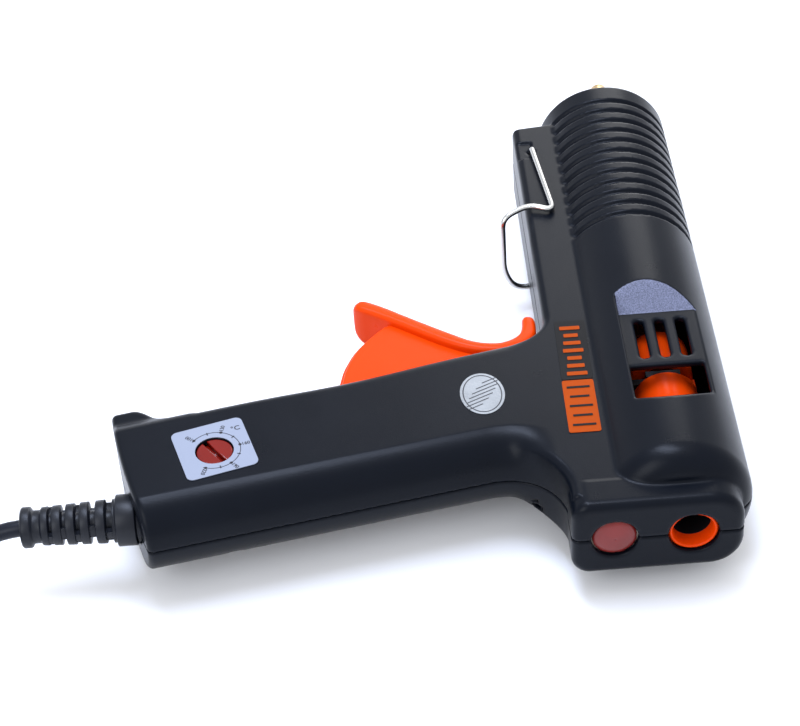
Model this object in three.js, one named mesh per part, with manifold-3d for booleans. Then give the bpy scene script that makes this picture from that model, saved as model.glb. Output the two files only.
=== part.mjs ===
// Hot glue gun with a ribbed round barrel, lying on its right side. Millimetres, +Z up.
// +X runs to the nozzle, +Y to the end of the handle. The two shells part on a plane parallel to X-Y.
import * as THREE from 'three';
import { mergeVertices } from 'three/addons/utils/BufferGeometryUtils.js';
import Module from 'manifold-3d';

// Barrel and shells
const BARREL_R = 24.3;
const BARREL_Y = 3.2;
const NOSE_X = 216.2;
const SHOULDER_X = 17.3;
const GROOVES = 12;
const GROOVE_PITCH = 6.33;
const GROOVE_FRONT_X = 206.2;
const HALF = 14.8;
const KEEL_Y = 37.9;
const KEEL_FRONT_X = 206.9;
const WALL = 2.4;
const PARTING_GAP = 0.15;
const BACK_TILT = 10.3;
const FRONT_TILT = 11.6;
// Side recess with its window and slots
const RECESS_Z = 18;
const RECESS_Y = 13.3;
const SLOT_YS = [6.7, -0.2, -7.2];
// Feed
const STICK_R = 5.7;
const CARRIAGE_R = 10.8;
const PIVOT = [74, 52];
const ARM_END = [64.4, 17.6];
// Stand
const WIRE_R = 1.05;
const STAND_PIVOT = [191, 32];
// Dial
const DIAL = [39.5, 149.7];
// Cord
const CORD_R = 2.75;
const CORD_X = 26.2;
const FLOOR = -BARREL_R;
const TURN_STEP = 5.6;
const COIL_R = 31;
const COIL_OUTER = COIL_R + 1.5 * TURN_STEP;
const COIL_X = CORD_X - COIL_OUTER;
const COIL_Y = 284;
// Middle of the gun in plan, cord left out
const MIDDLE = [124.75, 81.73];

const wasm = await Module();
wasm.setup();
const DEG = Math.PI / 180;
const group = new THREE.Group();
group.name = 'glue_gun';

// ---- making and joining solids ----
function volumeOf(p, t) {
  let sum = 0;
  const a = new THREE.Vector3();
  const b = new THREE.Vector3();
  const c = new THREE.Vector3();
  for (let i = 0; i < t.length; i += 3) {
    a.fromArray(p, 3 * t[i]);
    b.fromArray(p, 3 * t[i + 1]);
    c.fromArray(p, 3 * t[i + 2]);
    sum += a.dot(b.cross(c));
  }
  return sum;
}

function solid(geometry) {
  const bare = geometry.clone();
  bare.deleteAttribute('normal');
  bare.deleteAttribute('uv');
  const merged = mergeVertices(bare, 1e-4);
  const p = merged.attributes.position.array;
  const raw = merged.index.array;
  const kept = [];
  for (let i = 0; i < raw.length; i += 3) {
    const [a, b, c] = [raw[i], raw[i + 1], raw[i + 2]];
    if (a !== b && b !== c && a !== c) kept.push(a, b, c);
  }
  if (volumeOf(p, kept) < 0) {
    for (let i = 0; i < kept.length; i += 3) {
      [kept[i + 1], kept[i + 2]] = [kept[i + 2], kept[i + 1]];
    }
  }
  return new wasm.Manifold(new wasm.Mesh({
    numProp: 3,
    vertProperties: new Float32Array(p),
    triVerts: new Uint32Array(kept),
  }));
}

function join(...list) {
  return list.reduce((a, b) => a.add(b));
}

function cut(body, ...tools) {
  return tools.reduce((a, b) => a.subtract(b), body);
}

const finishes = {};
function finish(name, color, metalness = 0, roughness = 0.5) {
  finishes[name] = { color, metalness, roughness };
}
finish('body', 0x2b3038);
finish('orange', 0xff5a1e, 0, 0.35);
finish('brass', 0xb08d4a, 0.9, 0.35);
finish('steel', 0xb9bcc0, 0.9, 0.3);
finish('aluminium', 0xa9adb2, 0.8, 0.45);
finish('rubber', 0x15171b, 0, 0.7);
finish('silicone', 0xb8452c, 0, 0.6);
finish('phenolic', 0x4a3226, 0, 0.7);
finish('ceramic', 0xe6e0d2, 0, 0.6);
finish('lens', 0xa03034, 0, 0.2);
finish('knob', 0x8c1410, 0, 0.25);
finish('white', 0xd9dbea, 0, 0.5);
finish('silver', 0xb8bcc8, 0.5, 0.35);
finish('board', 0x2f6b3c, 0, 0.6);
finish('black', 0x101114, 0, 0.5);

function add(name, look, body) {
  const mesh = body.getMesh();
  const flat = new THREE.BufferGeometry();
  flat.setAttribute('position', new THREE.BufferAttribute(new Float32Array(mesh.vertProperties), 3));
  flat.setIndex(new THREE.BufferAttribute(new Uint32Array(mesh.triVerts), 1));
  flat.translate(-MIDDLE[0], -MIDDLE[1], BARREL_R);
  flat.computeVertexNormals();
  const node = new THREE.Mesh(flat, new THREE.MeshStandardMaterial(finishes[look]));
  node.name = name;
  group.add(node);
}

// Closed outline: each point is [x, y] or [x, y, corner radius]
function outline(points) {
  const shape = new THREE.Shape();
  const n = points.length;
  for (let i = 0; i < n; i += 1) {
    const [x, y, r = 0] = points[i];
    const before = points[(i + n - 1) % n];
    const after = points[(i + 1) % n];
    const toBefore = new THREE.Vector2(before[0] - x, before[1] - y);
    const toAfter = new THREE.Vector2(after[0] - x, after[1] - y);
    const reach = Math.min(r, toBefore.length() * 0.42, toAfter.length() * 0.42);
    toBefore.setLength(reach);
    toAfter.setLength(reach);
    if (i === 0) shape.moveTo(x + toBefore.x, y + toBefore.y);
    else shape.lineTo(x + toBefore.x, y + toBefore.y);
    if (r > 0) shape.quadraticCurveTo(x, y, x + toAfter.x, y + toAfter.y);
  }
  shape.closePath();
  return shape;
}

function circle(x, y, r) {
  const shape = new THREE.Shape();
  shape.absarc(x, y, r, 0, 2 * Math.PI, false);
  return shape;
}

// Slab of an outline between two heights, its edges rounded by `round`
function slabGeometry(shape, low, high, round = 0, curve = 4) {
  const geometry = new THREE.ExtrudeGeometry(shape, {
    depth: high - low - 2 * round,
    curveSegments: curve,
    bevelEnabled: round > 0,
    bevelSize: round,
    bevelThickness: round,
    bevelOffset: -round,
    bevelSegments: 2,
  });
  return geometry.translate(0, 0, low + round);
}

function slab(shape, low, high, round = 0, curve = 4) {
  return solid(slabGeometry(shape, low, high, round, curve));
}

function box(x0, x1, y0, y1, z0, z1) {
  const geometry = new THREE.BoxGeometry(x1 - x0, y1 - y0, z1 - z0);
  return solid(geometry.translate((x0 + x1) / 2, (y0 + y1) / 2, (z0 + z1) / 2));
}

// Section drawn in (Y, Z), run along X
function alongX(shape, x0, x1, round = 0, curve = 4) {
  const turn = new THREE.Matrix4().makeBasis(
    new THREE.Vector3(0, 1, 0),
    new THREE.Vector3(0, 0, 1),
    new THREE.Vector3(1, 0, 0),
  );
  return solid(slabGeometry(shape, x0, x1, round, curve).applyMatrix4(turn));
}

// Turned solid about X through (y, z): profile points are [x, radius]
function turned(profile, segments = 24, y = 0, z = 0) {
  const points = profile.map(([x, r]) => new THREE.Vector2(r, x));
  const geometry = new THREE.LatheGeometry(points, segments);
  return solid(geometry.rotateZ(-Math.PI / 2).translate(0, y, z));
}

// Plain tube about X
function pipe(x0, x1, outer, inner, segments = 24, y = 0) {
  const profile = [[x0, inner], [x0, outer], [x1, outer], [x1, inner], [x0, inner]];
  return turned(profile, segments, y);
}

function rod(x0, x1, r, segments = 24, y = 0) {
  return turned([[x0, 0], [x0, r], [x1, r], [x1, 0]], segments, y);
}

// Turned solid about Y through (x, z): profile points are [y, radius]
function turnedY(profile, segments, x, z = 0) {
  const points = profile.map(([y, r]) => new THREE.Vector2(r, y));
  return solid(new THREE.LatheGeometry(points, segments).translate(x, 0, z));
}

// Upright pin, boss or hole through (x, y)
function post(x, y, r, low, high, segments = 20) {
  const geometry = new THREE.CylinderGeometry(r, r, high - low, segments);
  return solid(geometry.rotateX(Math.PI / 2).translate(x, y, (low + high) / 2));
}

// Round section run along a line of points with rounded bends
function bend(points, radius) {
  const path = new THREE.CurvePath();
  let from = points[0];
  for (let i = 1; i < points.length - 1; i += 1) {
    const corner = points[i];
    const back = points[i - 1].clone().sub(corner);
    const on = points[i + 1].clone().sub(corner);
    const reach = Math.min(radius, back.length() * 0.45, on.length() * 0.45);
    const a = corner.clone().add(back.setLength(reach));
    const b = corner.clone().add(on.setLength(reach));
    path.add(new THREE.LineCurve3(from, a));
    path.add(new THREE.QuadraticBezierCurve3(a, corner, b));
    from = b;
  }
  path.add(new THREE.LineCurve3(from, points[points.length - 1]));
  return path;
}

function wire(path, r, steps, sides = 8) {
  const section = new THREE.Shape();
  for (let i = 0; i < sides; i += 1) {
    const angle = (2 * Math.PI * i) / sides;
    const [x, y] = [r * Math.cos(angle), r * Math.sin(angle)];
    if (i === 0) section.moveTo(x, y);
    else section.lineTo(x, y);
  }
  section.closePath();
  return solid(new THREE.ExtrudeGeometry(section, { steps, extrudePath: path, bevelEnabled: false }));
}

const at = (x, y, z) => new THREE.Vector3(x, y, z);

class Helix extends THREE.Curve {
  constructor(x0, x1, y, r, turns) {
    super();
    Object.assign(this, { x0, x1, y, r, turns });
  }

  getPoint(t) {
    const angle = 2 * Math.PI * this.turns * t;
    const x = this.x0 + (this.x1 - this.x0) * t;
    return at(x, this.y + this.r * Math.cos(angle), this.r * Math.sin(angle));
  }
}

// ---- shells ----
function barrel() {
  const profile = [[7.9, 0], [7.9, 15]];
  for (let i = 1; i <= 6; i += 1) {
    const angle = (i * 15) * DEG;
    const reach = BARREL_R - 15;
    profile.push([SHOULDER_X - reach * Math.cos(angle), 15 + reach * Math.sin(angle)]);
  }
  for (let i = GROOVES - 1; i >= 0; i -= 1) {
    const x = GROOVE_FRONT_X - i * GROOVE_PITCH;
    profile.push([x - 1.2, BARREL_R], [x - 0.6, BARREL_R - 1.1]);
    profile.push([x + 0.6, BARREL_R - 1.1], [x + 1.2, BARREL_R]);
  }
  profile.push([NOSE_X - 1.4, BARREL_R], [NOSE_X, BARREL_R - 1.4], [NOSE_X, 0]);
  return turned(profile, 32, BARREL_Y);
}

// Section of the grip across its length, rounded deep at the back and lightly at the front
function gripPrism(inset) {
  const depth = 11.5 - inset;
  const half = HALF - inset;
  const back = new THREE.Shape();
  back.moveTo(200, half);
  for (let i = 0; i <= 12; i += 1) {
    const angle = i * 15 * DEG;
    back.lineTo(inset + depth * (1 - Math.sin(angle)), half * Math.cos(angle));
  }
  back.lineTo(200, -half);
  back.closePath();
  const round = 5.5 - inset;
  const front = outline([[-200, -half], [-inset, -half, round], [-inset, half, round], [-200, half]]);
  const place = (shape, tilt, x, y) => {
    const forward = at(Math.cos(tilt * DEG), Math.sin(tilt * DEG), 0);
    const turn = new THREE.Matrix4().makeBasis(forward, at(0, 0, 1), forward.clone().cross(at(0, 0, 1)));
    turn.setPosition(x, y, 0);
    return solid(slabGeometry(shape, -60, 200).applyMatrix4(turn));
  };
  return place(back, BACK_TILT, 9.6, 172.3).intersect(place(front, FRONT_TILT, 59.6, 168));
}

function grip() {
  const side = outline([
    [8.9, 173, 3], [33, 178.6], [62, 185],
    [59.6, 168], [70.2, 108.5], [78.7, 71], [83.2, 52, 4], [93, 38],
    [92, 30], [30, 30], [30.2, 60],
  ]);
  const body = slab(side, -HALF, HALF).intersect(gripPrism(0));
  const lip = slab(outline([
    [52, 182.6], [66.4, 184.9, 2.4], [67.4, 178.5, 2.4], [61.2, 170.5], [58.5, 163], [50, 163],
  ]), -11.5, 11.5, 1.6);
  // Web that sweeps the back of the grip into the underside of the rear block
  const sweep = slab(outline([
    [6, 38], [14, 40.6], [20, 43.4], [25, 47.6], [28.6, 53.5], [30.6, 61], [42, 66], [42, 26], [6, 26],
  ]), -HALF, HALF, 4);
  const throat = slab(outline([
    [80, 54], [83.6, 49.5], [87.6, 42.5], [93.5, 36.5], [78, 34],
  ]), -HALF, HALF, 2);
  return join(body, lip, sweep, throat);
}

function outerBody() {
  const keel = alongX(outline([
    [3, -HALF], [KEEL_Y, -HALF, 3], [KEEL_Y, HALF, 3], [3, HALF],
  ]), 6, KEEL_FRONT_X, 1.2);
  const block = alongX(outline([
    [-19, -15, 11], [38.6, -15, 6], [38.6, 15, 6], [-19, 15, 11],
  ]), 0, 12, 3);
  return join(barrel(), keel, block, grip());
}

function hollow() {
  const r = BARREL_R - WALL;
  const core = turned([
    [11, 0], [11, 13], [19.5, r], [213.4, r], [213.4, 0],
  ], 32, BARREL_Y);
  const half = HALF - WALL;
  const keel = alongX(outline([[0, -half], [35.5, -half, 2], [35.5, half, 2], [0, half]]), 4, 204.4);
  const rear = alongX(outline([
    [-16.4, -half, 8], [36, -half, 4], [36, half, 4], [-16.4, half, 8],
  ]), 2.6, 14);
  const side = outline([
    [12, 171, 2], [33, 175.9], [57.6, 181.6, 3],
    [57.2, 168], [67.6, 108.5], [76.2, 71], [80.6, 51], [88, 34], [33, 34], [32.5, 60],
  ]);
  const grasp = slab(side, -half, half).intersect(gripPrism(WALL));
  const pads = [[15.8, 26], [-26, -15.8]].map(([z0, z1]) => box(40, 101, -18, 18, z0, z1));
  const ribs = [[122.4, 125.6], [206.6, 208.6]].map(([a, b]) => cut(
    rod(a, b, 26, 24, BARREL_Y), rod(a - 1, b + 1, 18.7, 32),
    box(a - 1, b + 1, 20, 40, -8, 8),
  ));
  return join(cut(join(core, rear), ...pads, ...ribs), keel, grasp);
}

function recess(side) {
  const flip = (z0, z1) => (side > 0 ? [z0, z1] : [-z1, -z0]);
  const pocket = box(43.8, 88.4, -26, RECESS_Y, ...flip(RECESS_Z, 30));
  const ramp = new THREE.Shape();
  ramp.moveTo(88, side * RECESS_Z);
  ramp.lineTo(88.4, side * RECESS_Z);
  ramp.lineTo(98.2, side * (BARREL_R + 0.2));
  ramp.lineTo(98.2, side * 30);
  ramp.lineTo(88, side * 30);
  ramp.closePath();
  const turn = new THREE.Matrix4().makeBasis(at(1, 0, 0), at(0, 0, 1), at(0, -1, 0));
  const wedge = solid(slabGeometry(ramp, -RECESS_Y, 26).applyMatrix4(turn));
  const window = box(45.5, 61.3, -12, RECESS_Y - 0.6, ...flip(13, 30));
  const slots = SLOT_YS.map((y) => slab(outline([
    [65, y - 1.7, 1.6], [84.8, y - 1.7, 1.6], [84.8, y + 1.7, 1.6], [65, y + 1.7, 1.6],
  ]), ...flip(13, 30)));
  return join(pocket, wedge, window, ...slots);
}

// Case screws, driven in from the right side
const SCREWS = [[21, 146], [52.5, 172], [33.2, 86], [31, 44.5], [112, 30.5], [172, 30.5]];

function bossesFor(side) {
  const top = HALF - 1;
  const span = side > 0 ? [PARTING_GAP, top] : [-top, -PARTING_GAP];
  const list = SCREWS.map(([x, y]) => post(x, y, 4, ...span, 16));
  list.push(post(PIVOT[0], PIVOT[1], 5, side > 0 ? 6 : -top, side > 0 ? top : -6, 16));
  list.push(post(STAND_PIVOT[0], STAND_PIVOT[1], 3.4, side > 0 ? 9 : -top, side > 0 ? top : -9));
  return list;
}

const outer = outerBody();
const inner = hollow();
const openings = join(
  rod(-1, 5, 8.05, 24),
  turned([[-1, 0], [-1, 7.5], [5, 7.5], [5, 0]], 24, 25),
  rod(212, 218, 17, 28),
  recess(1),
  recess(-1),
  slab(outline([[50, 111.6], [100, 111.6], [100, 41], [78, 41], [72, 60]]), -5.9, 5.9),
  post(PIVOT[0], PIVOT[1], 2.3, -12.4, 12.4),
  turnedY([[160, 0], [160, 7.6], [190, 7.6], [190, 0]], 28, CORD_X),
  post(STAND_PIVOT[0], STAND_PIVOT[1], WIRE_R + 0.3, -30, 30),
);

function shell(side) {
  const low = side > 0 ? PARTING_GAP : -40;
  const high = side > 0 ? 40 : -PARTING_GAP;
  const half = box(-10, 260, -40, 200, low, high);
  const skin = cut(outer, inner).intersect(half);
  const bossed = join(skin, ...bossesFor(side).map((b) => b.intersect(outer)));
  const extra = side > 0
    ? [post(DIAL[0], DIAL[1], 6.25, 10, 20, 28), ...SCREWS.map(([x, y]) => post(x, y, 1.6, -1, 10, 10))]
    : SCREWS.flatMap(([x, y]) => [post(x, y, 1.7, -30, 1, 10), post(x, y, 3.3, -30, -7, 16)]);
  const anchor = side > 0 ? [] : [box(20, 22.4, -18.1, -12.6, -12, 2)];
  return cut(join(bossed, ...anchor), openings, ...extra);
}

add('left_shell', 'body', shell(1));
add('right_shell', 'body', shell(-1));

SCREWS.forEach(([x, y], i) => {
  const slot = box(x - 4, x + 4, y - 0.5, y + 0.5, -11, -9);
  const screw = join(post(x, y, 2.9, -9.9, -7.3, 16), post(x, y, 1.3, -8, 8, 10));
  add(`case_screw_${i + 1}`, 'steel', cut(screw, slot));
});

// ---- feed ----
add('stick_guide', 'orange', turned([
  [1.3, 7], [1.3, 7.7], [2.9, 7.7], [2.9, 10.6], [4.8, 10.6], [4.8, 7.7], [31, 7.7], [31, 6.3],
  [4.5, 6.3], [1.3, 7],
], 32));

function carriage() {
  const tube = pipe(34, 87, CARRIAGE_R, 6.6, 36);
  const gap = box(66, 72, -20, 20, -20, 20);
  const link = pipe(65.5, 72.5, CARRIAGE_R, 8.9, 36);
  const over = link.intersect(box(65, 73, -20, -6.5, -5, 5));
  const under = [[5, 9], [-9, -5]].map(([z0, z1]) => link.intersect(box(65, 73, 6.6, 20, z0, z1)));
  const lug = box(41.6, 44, -17.2, -10, -2, 2);
  return join(cut(tube, gap), over, ...under, lug);
}
add('feed_carriage', 'orange', carriage());

// Toothed plate that bites the stick as the trigger pushes its tail
add('stick_gripper', 'steel', cut(slab(outline([
  [67.3, -8.2], [70, -8.2], [70, 19], [67.3, 19],
]), -7.6, 7.6), rod(60, 80, 6.2, 24), box(60, 80, 6, 30, 4.4, 20), box(60, 80, 6, 30, -20, -4.4),
box(60, 80, -12, -5.5, 2.8, 20), box(60, 80, -12, -5.5, -20, -2.8)));

add('return_spring', 'steel', wire(new Helix(23.2, 40.8, -14.8, 1.9, 7), 0.4, 63, 5));

function trigger() {
  const pad = slab(outline([
    [119.8, 99.5, 1.8], [115.6, 92.4], [107.4, 82], [97.6, 69], [92.9, 62], [91, 54.3], [92.3, 49],
    [95.4, 45.2, 2], [103.2, 44.4, 2], [103.4, 40.1, 2], [93.2, 40.4, 3], [88.6, 44.6], [86.8, 50],
    [86.6, 56], [88.8, 64], [94.3, 73.2], [105, 86.6], [111.6, 95.6], [115.4, 102.6, 1.8],
  ]), -8.6, 8.6, 1.2);
  const web = slab(outline([
    [88.4, 60], [95, 72], [106.5, 87], [108, 91], [104.5, 95.5, 1.5], [99.8, 100], [95.4, 103.2], [86.8, 107],
    [76.9, 109.3], [66, 109.6, 3], [62.4, 104, 3], [67, 84], [67, 60], [74, 46], [88, 50],
  ]), -5.5, 5.5);
  const hub = post(PIVOT[0], PIVOT[1], 6.2, -5.5, 5.5, 28);
  const arm = slab(outline([
    [69.5, 55], [ARM_END[0] - 2.2, ARM_END[1] + 1.4, 1], [ARM_END[0] - 1.8, ARM_END[1] - 2.4, 2],
    [ARM_END[0] + 2.2, ARM_END[1] - 2.4, 2], [ARM_END[0] + 2.4, ARM_END[1] + 1.6, 1], [79.5, 50],
  ]), -3.8, 3.8);
  return cut(join(pad, web, hub, arm), post(PIVOT[0], PIVOT[1], 2.05, -10, 10));
}
add('trigger', 'orange', trigger());
add('trigger_pin', 'steel', post(PIVOT[0], PIVOT[1], 2, -12.2, 12.2));

// ---- melt unit ----
add('inlet_sleeve', 'silicone', turned([
  [101.6, STICK_R], [101.6, 8.2], [104, 9.4], [118.4, 9.4], [118.4, 7.8], [111.7, 7.8], [111.7, STICK_R],
  [101.6, STICK_R],
], 28));
add('sleeve_clamp', 'steel', pipe(113.4, 117.4, 10.5, 9.7, 28));
const chamber = join(
  turned([[112, 0], [112, 7.5], [119, 7.5], [119, 9.5], [204, 9.5], [204, 0]], 28),
  box(129, 197, 4, 19.4, -9, 9),
);
add('melt_chamber', 'aluminium', cut(
  chamber,
  turned([[110, 0], [110, STICK_R], [186, STICK_R], [192, 3], [196, 3], [196, 4.7], [206, 4.7], [206, 0]], 28),
  box(127, 199, 12.2, 16.2, -6.8, 6.8),
));
add('heater_element', 'ceramic', box(131, 195, 12.5, 15.9, -6.5, 6.5));
add('rear_insulator', 'phenolic', pipe(122.7, 125.3, 18.3, 9.8, 32));
add('nose_insulator', 'phenolic', turned([
  [206.9, 9.8], [206.9, 18.3], [208.3, 18.3], [208.3, 16.6], [215.4, 16.6], [215.4, 9.8], [206.9, 9.8],
], 36));

function nozzle() {
  const skin = turned([
    [196.4, 0], [196.4, 4.4], [204.4, 4.4], [204.4, 8.6], [217.6, 8.6], [217.6, 6.6], [228, 6.6],
    [245.5, 3.3], [248.7, 3.1], [249.5, 2.4], [249.5, 0],
  ], 28);
  const hex = [];
  for (let i = 0; i < 6; i += 1) {
    hex.push([9.2 * Math.cos(i * 60 * DEG), 9.2 * Math.sin(i * 60 * DEG)]);
  }
  const way = turned([
    [195, 0], [195, 1.6], [199.4, 1.6], [200.8, 2.9], [228, 2.9], [230, 1.2], [251, 1.2], [251, 0],
  ], 20);
  return cut(join(skin, alongX(outline(hex), 218, 225.6)), way);
}
add('nozzle', 'brass', nozzle());
add('nozzle_ball', 'steel', solid(new THREE.SphereGeometry(2.2, 12, 8).translate(202.6, 0, 0)));
add('nozzle_spring', 'steel', wire(new Helix(205.5, 227.4, 0, 2.1, 7), 0.3, 63, 5));

// ---- lamp, control and leads ----
add('lamp_lens', 'lens', turned([[0, 0], [0.15, 3], [0.6, 5.8], [1.4, 7.1], [2.5, 7.1], [2.5, 0]], 28, 25));
add('lamp_body', 'white', turned([
  [2.9, 0], [2.9, 9], [4.4, 9], [4.4, 6.4], [20, 6.4], [22, 5], [22, 0],
], 24, 25));

// Sideways and endways directions along the tilted grip
function gripBox(cx, cy, wide, long, z0, z1) {
  const geometry = new THREE.BoxGeometry(wide, long, z1 - z0);
  return solid(geometry.rotateZ(11 * DEG).translate(cx, cy, (z0 + z1) / 2));
}
add('control_board', 'board', gripBox(43, 142, 21, 42, -4.6, -3));
add('potentiometer', 'aluminium', join(post(DIAL[0], DIAL[1], 7.6, -2.7, 3.4, 24), post(DIAL[0], DIAL[1], 2.4, 3, 6)));
add('temperature_knob', 'knob', cut(
  join(post(DIAL[0], DIAL[1], 5.9, 9.4, 13.9, 32), post(DIAL[0], DIAL[1], 3.9, 4, 10)),
  post(DIAL[0], DIAL[1], 2.45, 2, 6.4),
  gripBox(DIAL[0], DIAL[1], 9.4, 1.3, 12.5, 15),
));
add('heat_sink', 'aluminium', join(
  gripBox(48, 124.6, 12, 1.6, -2.7, 9),
  gripBox(48.5, 127.5, 10, 5.4, -2.7, 1.6),
));
add('film_capacitor', 'orange', gripBox(52, 140, 6, 11, -2.7, 5));

const LEADS = [1, -1];
LEADS.forEach((s) => {
  const path = bend([
    at(130.6, 14.1, s * 4), at(127.2, 14.1, s * 4), at(127.2, 23, s * 5.5), at(116, 23.4, s * 6),
    at(104, 23.4, s * 10.6), at(46, 23.5, s * 10.6), at(41, 60, s * 10), at(39.6, 104, s * 9.2),
    at(38, 117.5, s > 0 ? 2 : -8), at(38.6, 124, s > 0 ? -2 : -7.5),
  ], 5);
  add(s > 0 ? 'heater_lead_live' : 'heater_lead_neutral', s > 0 ? 'silicone' : 'white', wire(path, 0.8, 40, 5));
});

// ---- cord ----
add('strain_relief', 'rubber', cut(turnedY([
  [168.4, 0], [168.4, 9.2], [171, 9.2], [171, 7.3], [179.4, 7.3], [179.4, 8.4], [183, 8.2], [183.2, 7.1],
  [190.6, 6.9], [190.8, 5.6], [192, 5.6], [192.2, 6.7], [195.2, 6.6], [195.4, 5.4], [196.6, 5.4], [196.8, 6.4],
  [199.8, 6.3], [200, 5.2], [201.2, 5.2], [201.4, 6.2], [205, 6.1], [205.4, 5.7], [209.8, 5.7], [210, 6.7],
  [213, 6.6], [213.3, 6.2], [213.3, 0],
], 18, CORD_X), turnedY([[160, 0], [160, CORD_R + 0.3], [220, CORD_R + 0.3], [220, 0]], 16, CORD_X)));

const LOW = FLOOR + CORD_R + 0.05;
const cordPoints = [
  at(CORD_X, 153, 0), at(CORD_X, 224, 0), at(CORD_X, 246, LOW), at(CORD_X, 262.7, LOW),
];
add('power_cord', 'rubber', wire(bend(cordPoints, 14), CORD_R, 30, 8));
add('cord_clamp', 'phenolic', cut(
  box(CORD_X - 8.6, CORD_X + 8.6, 157, 163, -1.5, 5.6),
  turnedY([[150, 0], [150, CORD_R + 0.25], [170, CORD_R + 0.25], [170, 0]], 16, CORD_X),
  box(CORD_X - CORD_R - 0.25, CORD_X + CORD_R + 0.25, 150, 170, -6, 0),
));

const COIL_BASE = FLOOR + 1.3;
const coilHalf = 2 * TURN_STEP;
const coilTop = COIL_BASE + 2 * TURN_STEP;
const coilProfile = [
  [COIL_R - coilHalf, COIL_BASE + 2.6], [COIL_R - coilHalf + 2.6, COIL_BASE], [COIL_R + coilHalf - 2.6, COIL_BASE],
  [COIL_R + coilHalf, COIL_BASE + 2.6], [COIL_R + coilHalf, coilTop - 2.6], [COIL_R + coilHalf - 2.6, coilTop],
  [COIL_R - coilHalf + 2.6, coilTop], [COIL_R - coilHalf, coilTop - 2.6], [COIL_R - coilHalf, COIL_BASE + 2.6],
].map(([r, z]) => new THREE.Vector2(r, z));
const coil = new THREE.LatheGeometry(coilProfile, 36).rotateX(Math.PI / 2);
add('cord_coil', 'rubber', solid(coil.translate(COIL_X, COIL_Y, 0)));
const tieY = COIL_Y - COIL_R;
add('coil_tie', 'black', cut(
  box(COIL_X - 2.5, COIL_X + 2.5, tieY - coilHalf - 1.2, tieY + coilHalf + 1.2, COIL_BASE - 1.2, coilTop + 1.2),
  box(COIL_X - 9, COIL_X + 9, tieY - coilHalf - 0.3, tieY + coilHalf + 0.3, COIL_BASE - 0.3, coilTop + 0.3),
));
const PLUG_X = -54;
const PLUG_Y = COIL_Y + COIL_OUTER;
const PLUG_Z = FLOOR + 6.9;
add('cord_tail', 'rubber', wire(bend([
  at(COIL_X - 21.5, PLUG_Y, LOW + 3.4), at(PLUG_X + 9, PLUG_Y, PLUG_Z - 1.3), at(PLUG_X + 0.9, PLUG_Y, PLUG_Z),
], 8), CORD_R, 14, 8));
add('plug_body', 'rubber', slab(outline([
  [PLUG_X, PLUG_Y - 5, 2.5], [PLUG_X - 11.5, PLUG_Y - 8, 4], [PLUG_X - 17.5, PLUG_Y - 12.6, 3],
  [PLUG_X - 35.5, PLUG_Y - 13, 3], [PLUG_X - 35.5, PLUG_Y + 13, 3], [PLUG_X - 17.5, PLUG_Y + 12.6, 3],
  [PLUG_X - 11.5, PLUG_Y + 8, 4], [PLUG_X, PLUG_Y + 5, 2.5],
]), FLOOR + 0.05, FLOOR + 13.7, 1.2));
[-9.3, 9.3].forEach((dy, i) => {
  const pin = turned([[-19, 0], [-18.7, 1.6], [-17.9, 2], [0, 2], [0, 0]], 14, PLUG_Y + dy, PLUG_Z);
  add(`plug_pin_${i + 1}`, 'brass', pin.translate([PLUG_X - 35.8, 0, 0]));
});

// ---- stand ----
const side = HALF + 0.4 + WIRE_R;
add('stand_wire', 'steel', wire(bend([
  at(...STAND_PIVOT, 11), at(...STAND_PIVOT, side + 0.2), at(151, 27.8, side + 0.2), at(154, 37, side + 0.8),
  at(150, 46.6, side - 0.6), at(148.8, 46.6, -8), at(149.2, 42.6, -side), at(151, 27.8, -side - 0.2),
  at(...STAND_PIVOT, -side - 0.2), at(...STAND_PIVOT, -11),
], 5), WIRE_R, 84, 6));

// ---- labels ----
const SKIN = HALF + 0.06;
const dial = new THREE.ExtrudeGeometry(outline([
  [-11.9, -11.9, 2.4], [11.9, -11.9, 2.4], [11.9, 11.9, 2.4], [-11.9, 11.9, 2.4],
]), { depth: 0.3, bevelEnabled: false, curveSegments: 4 });
add('dial_label', 'white', cut(
  solid(dial.rotateZ(15.3 * DEG).translate(40.4, 149.7, SKIN)),
  post(DIAL[0], DIAL[1], 6.3, 10, 20, 28),
));
const oval = new THREE.Shape();
oval.absellipse(57.1, 61.6, 10.1, 7.35, 0, 2 * Math.PI, false, 3 * DEG);
add('inspection_sticker', 'silver', slab(oval, SKIN, SKIN + 0.2, 0, 20));
add('rating_label', 'black', slab(outline([
  [60.6, 24.7], [60.6, 35.1], [90.8, 34.2], [90.8, 24.2],
]), SKIN, SKIN + 0.2));
add('info_label', 'orange', slab(outline([
  [34.8, 24.9], [34.8, 35.4], [60.2, 35.1], [60.2, 24.7],
]), SKIN, SKIN + 0.2));

export default group;
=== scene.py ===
# Hot glue gun on its side. Lengths are millimetres in the gun's own datum, the middle of the stick opening,
# until row() puts them in the frame.
import math

import bpy
import numpy as np
from mathutils import Matrix, Vector


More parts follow.
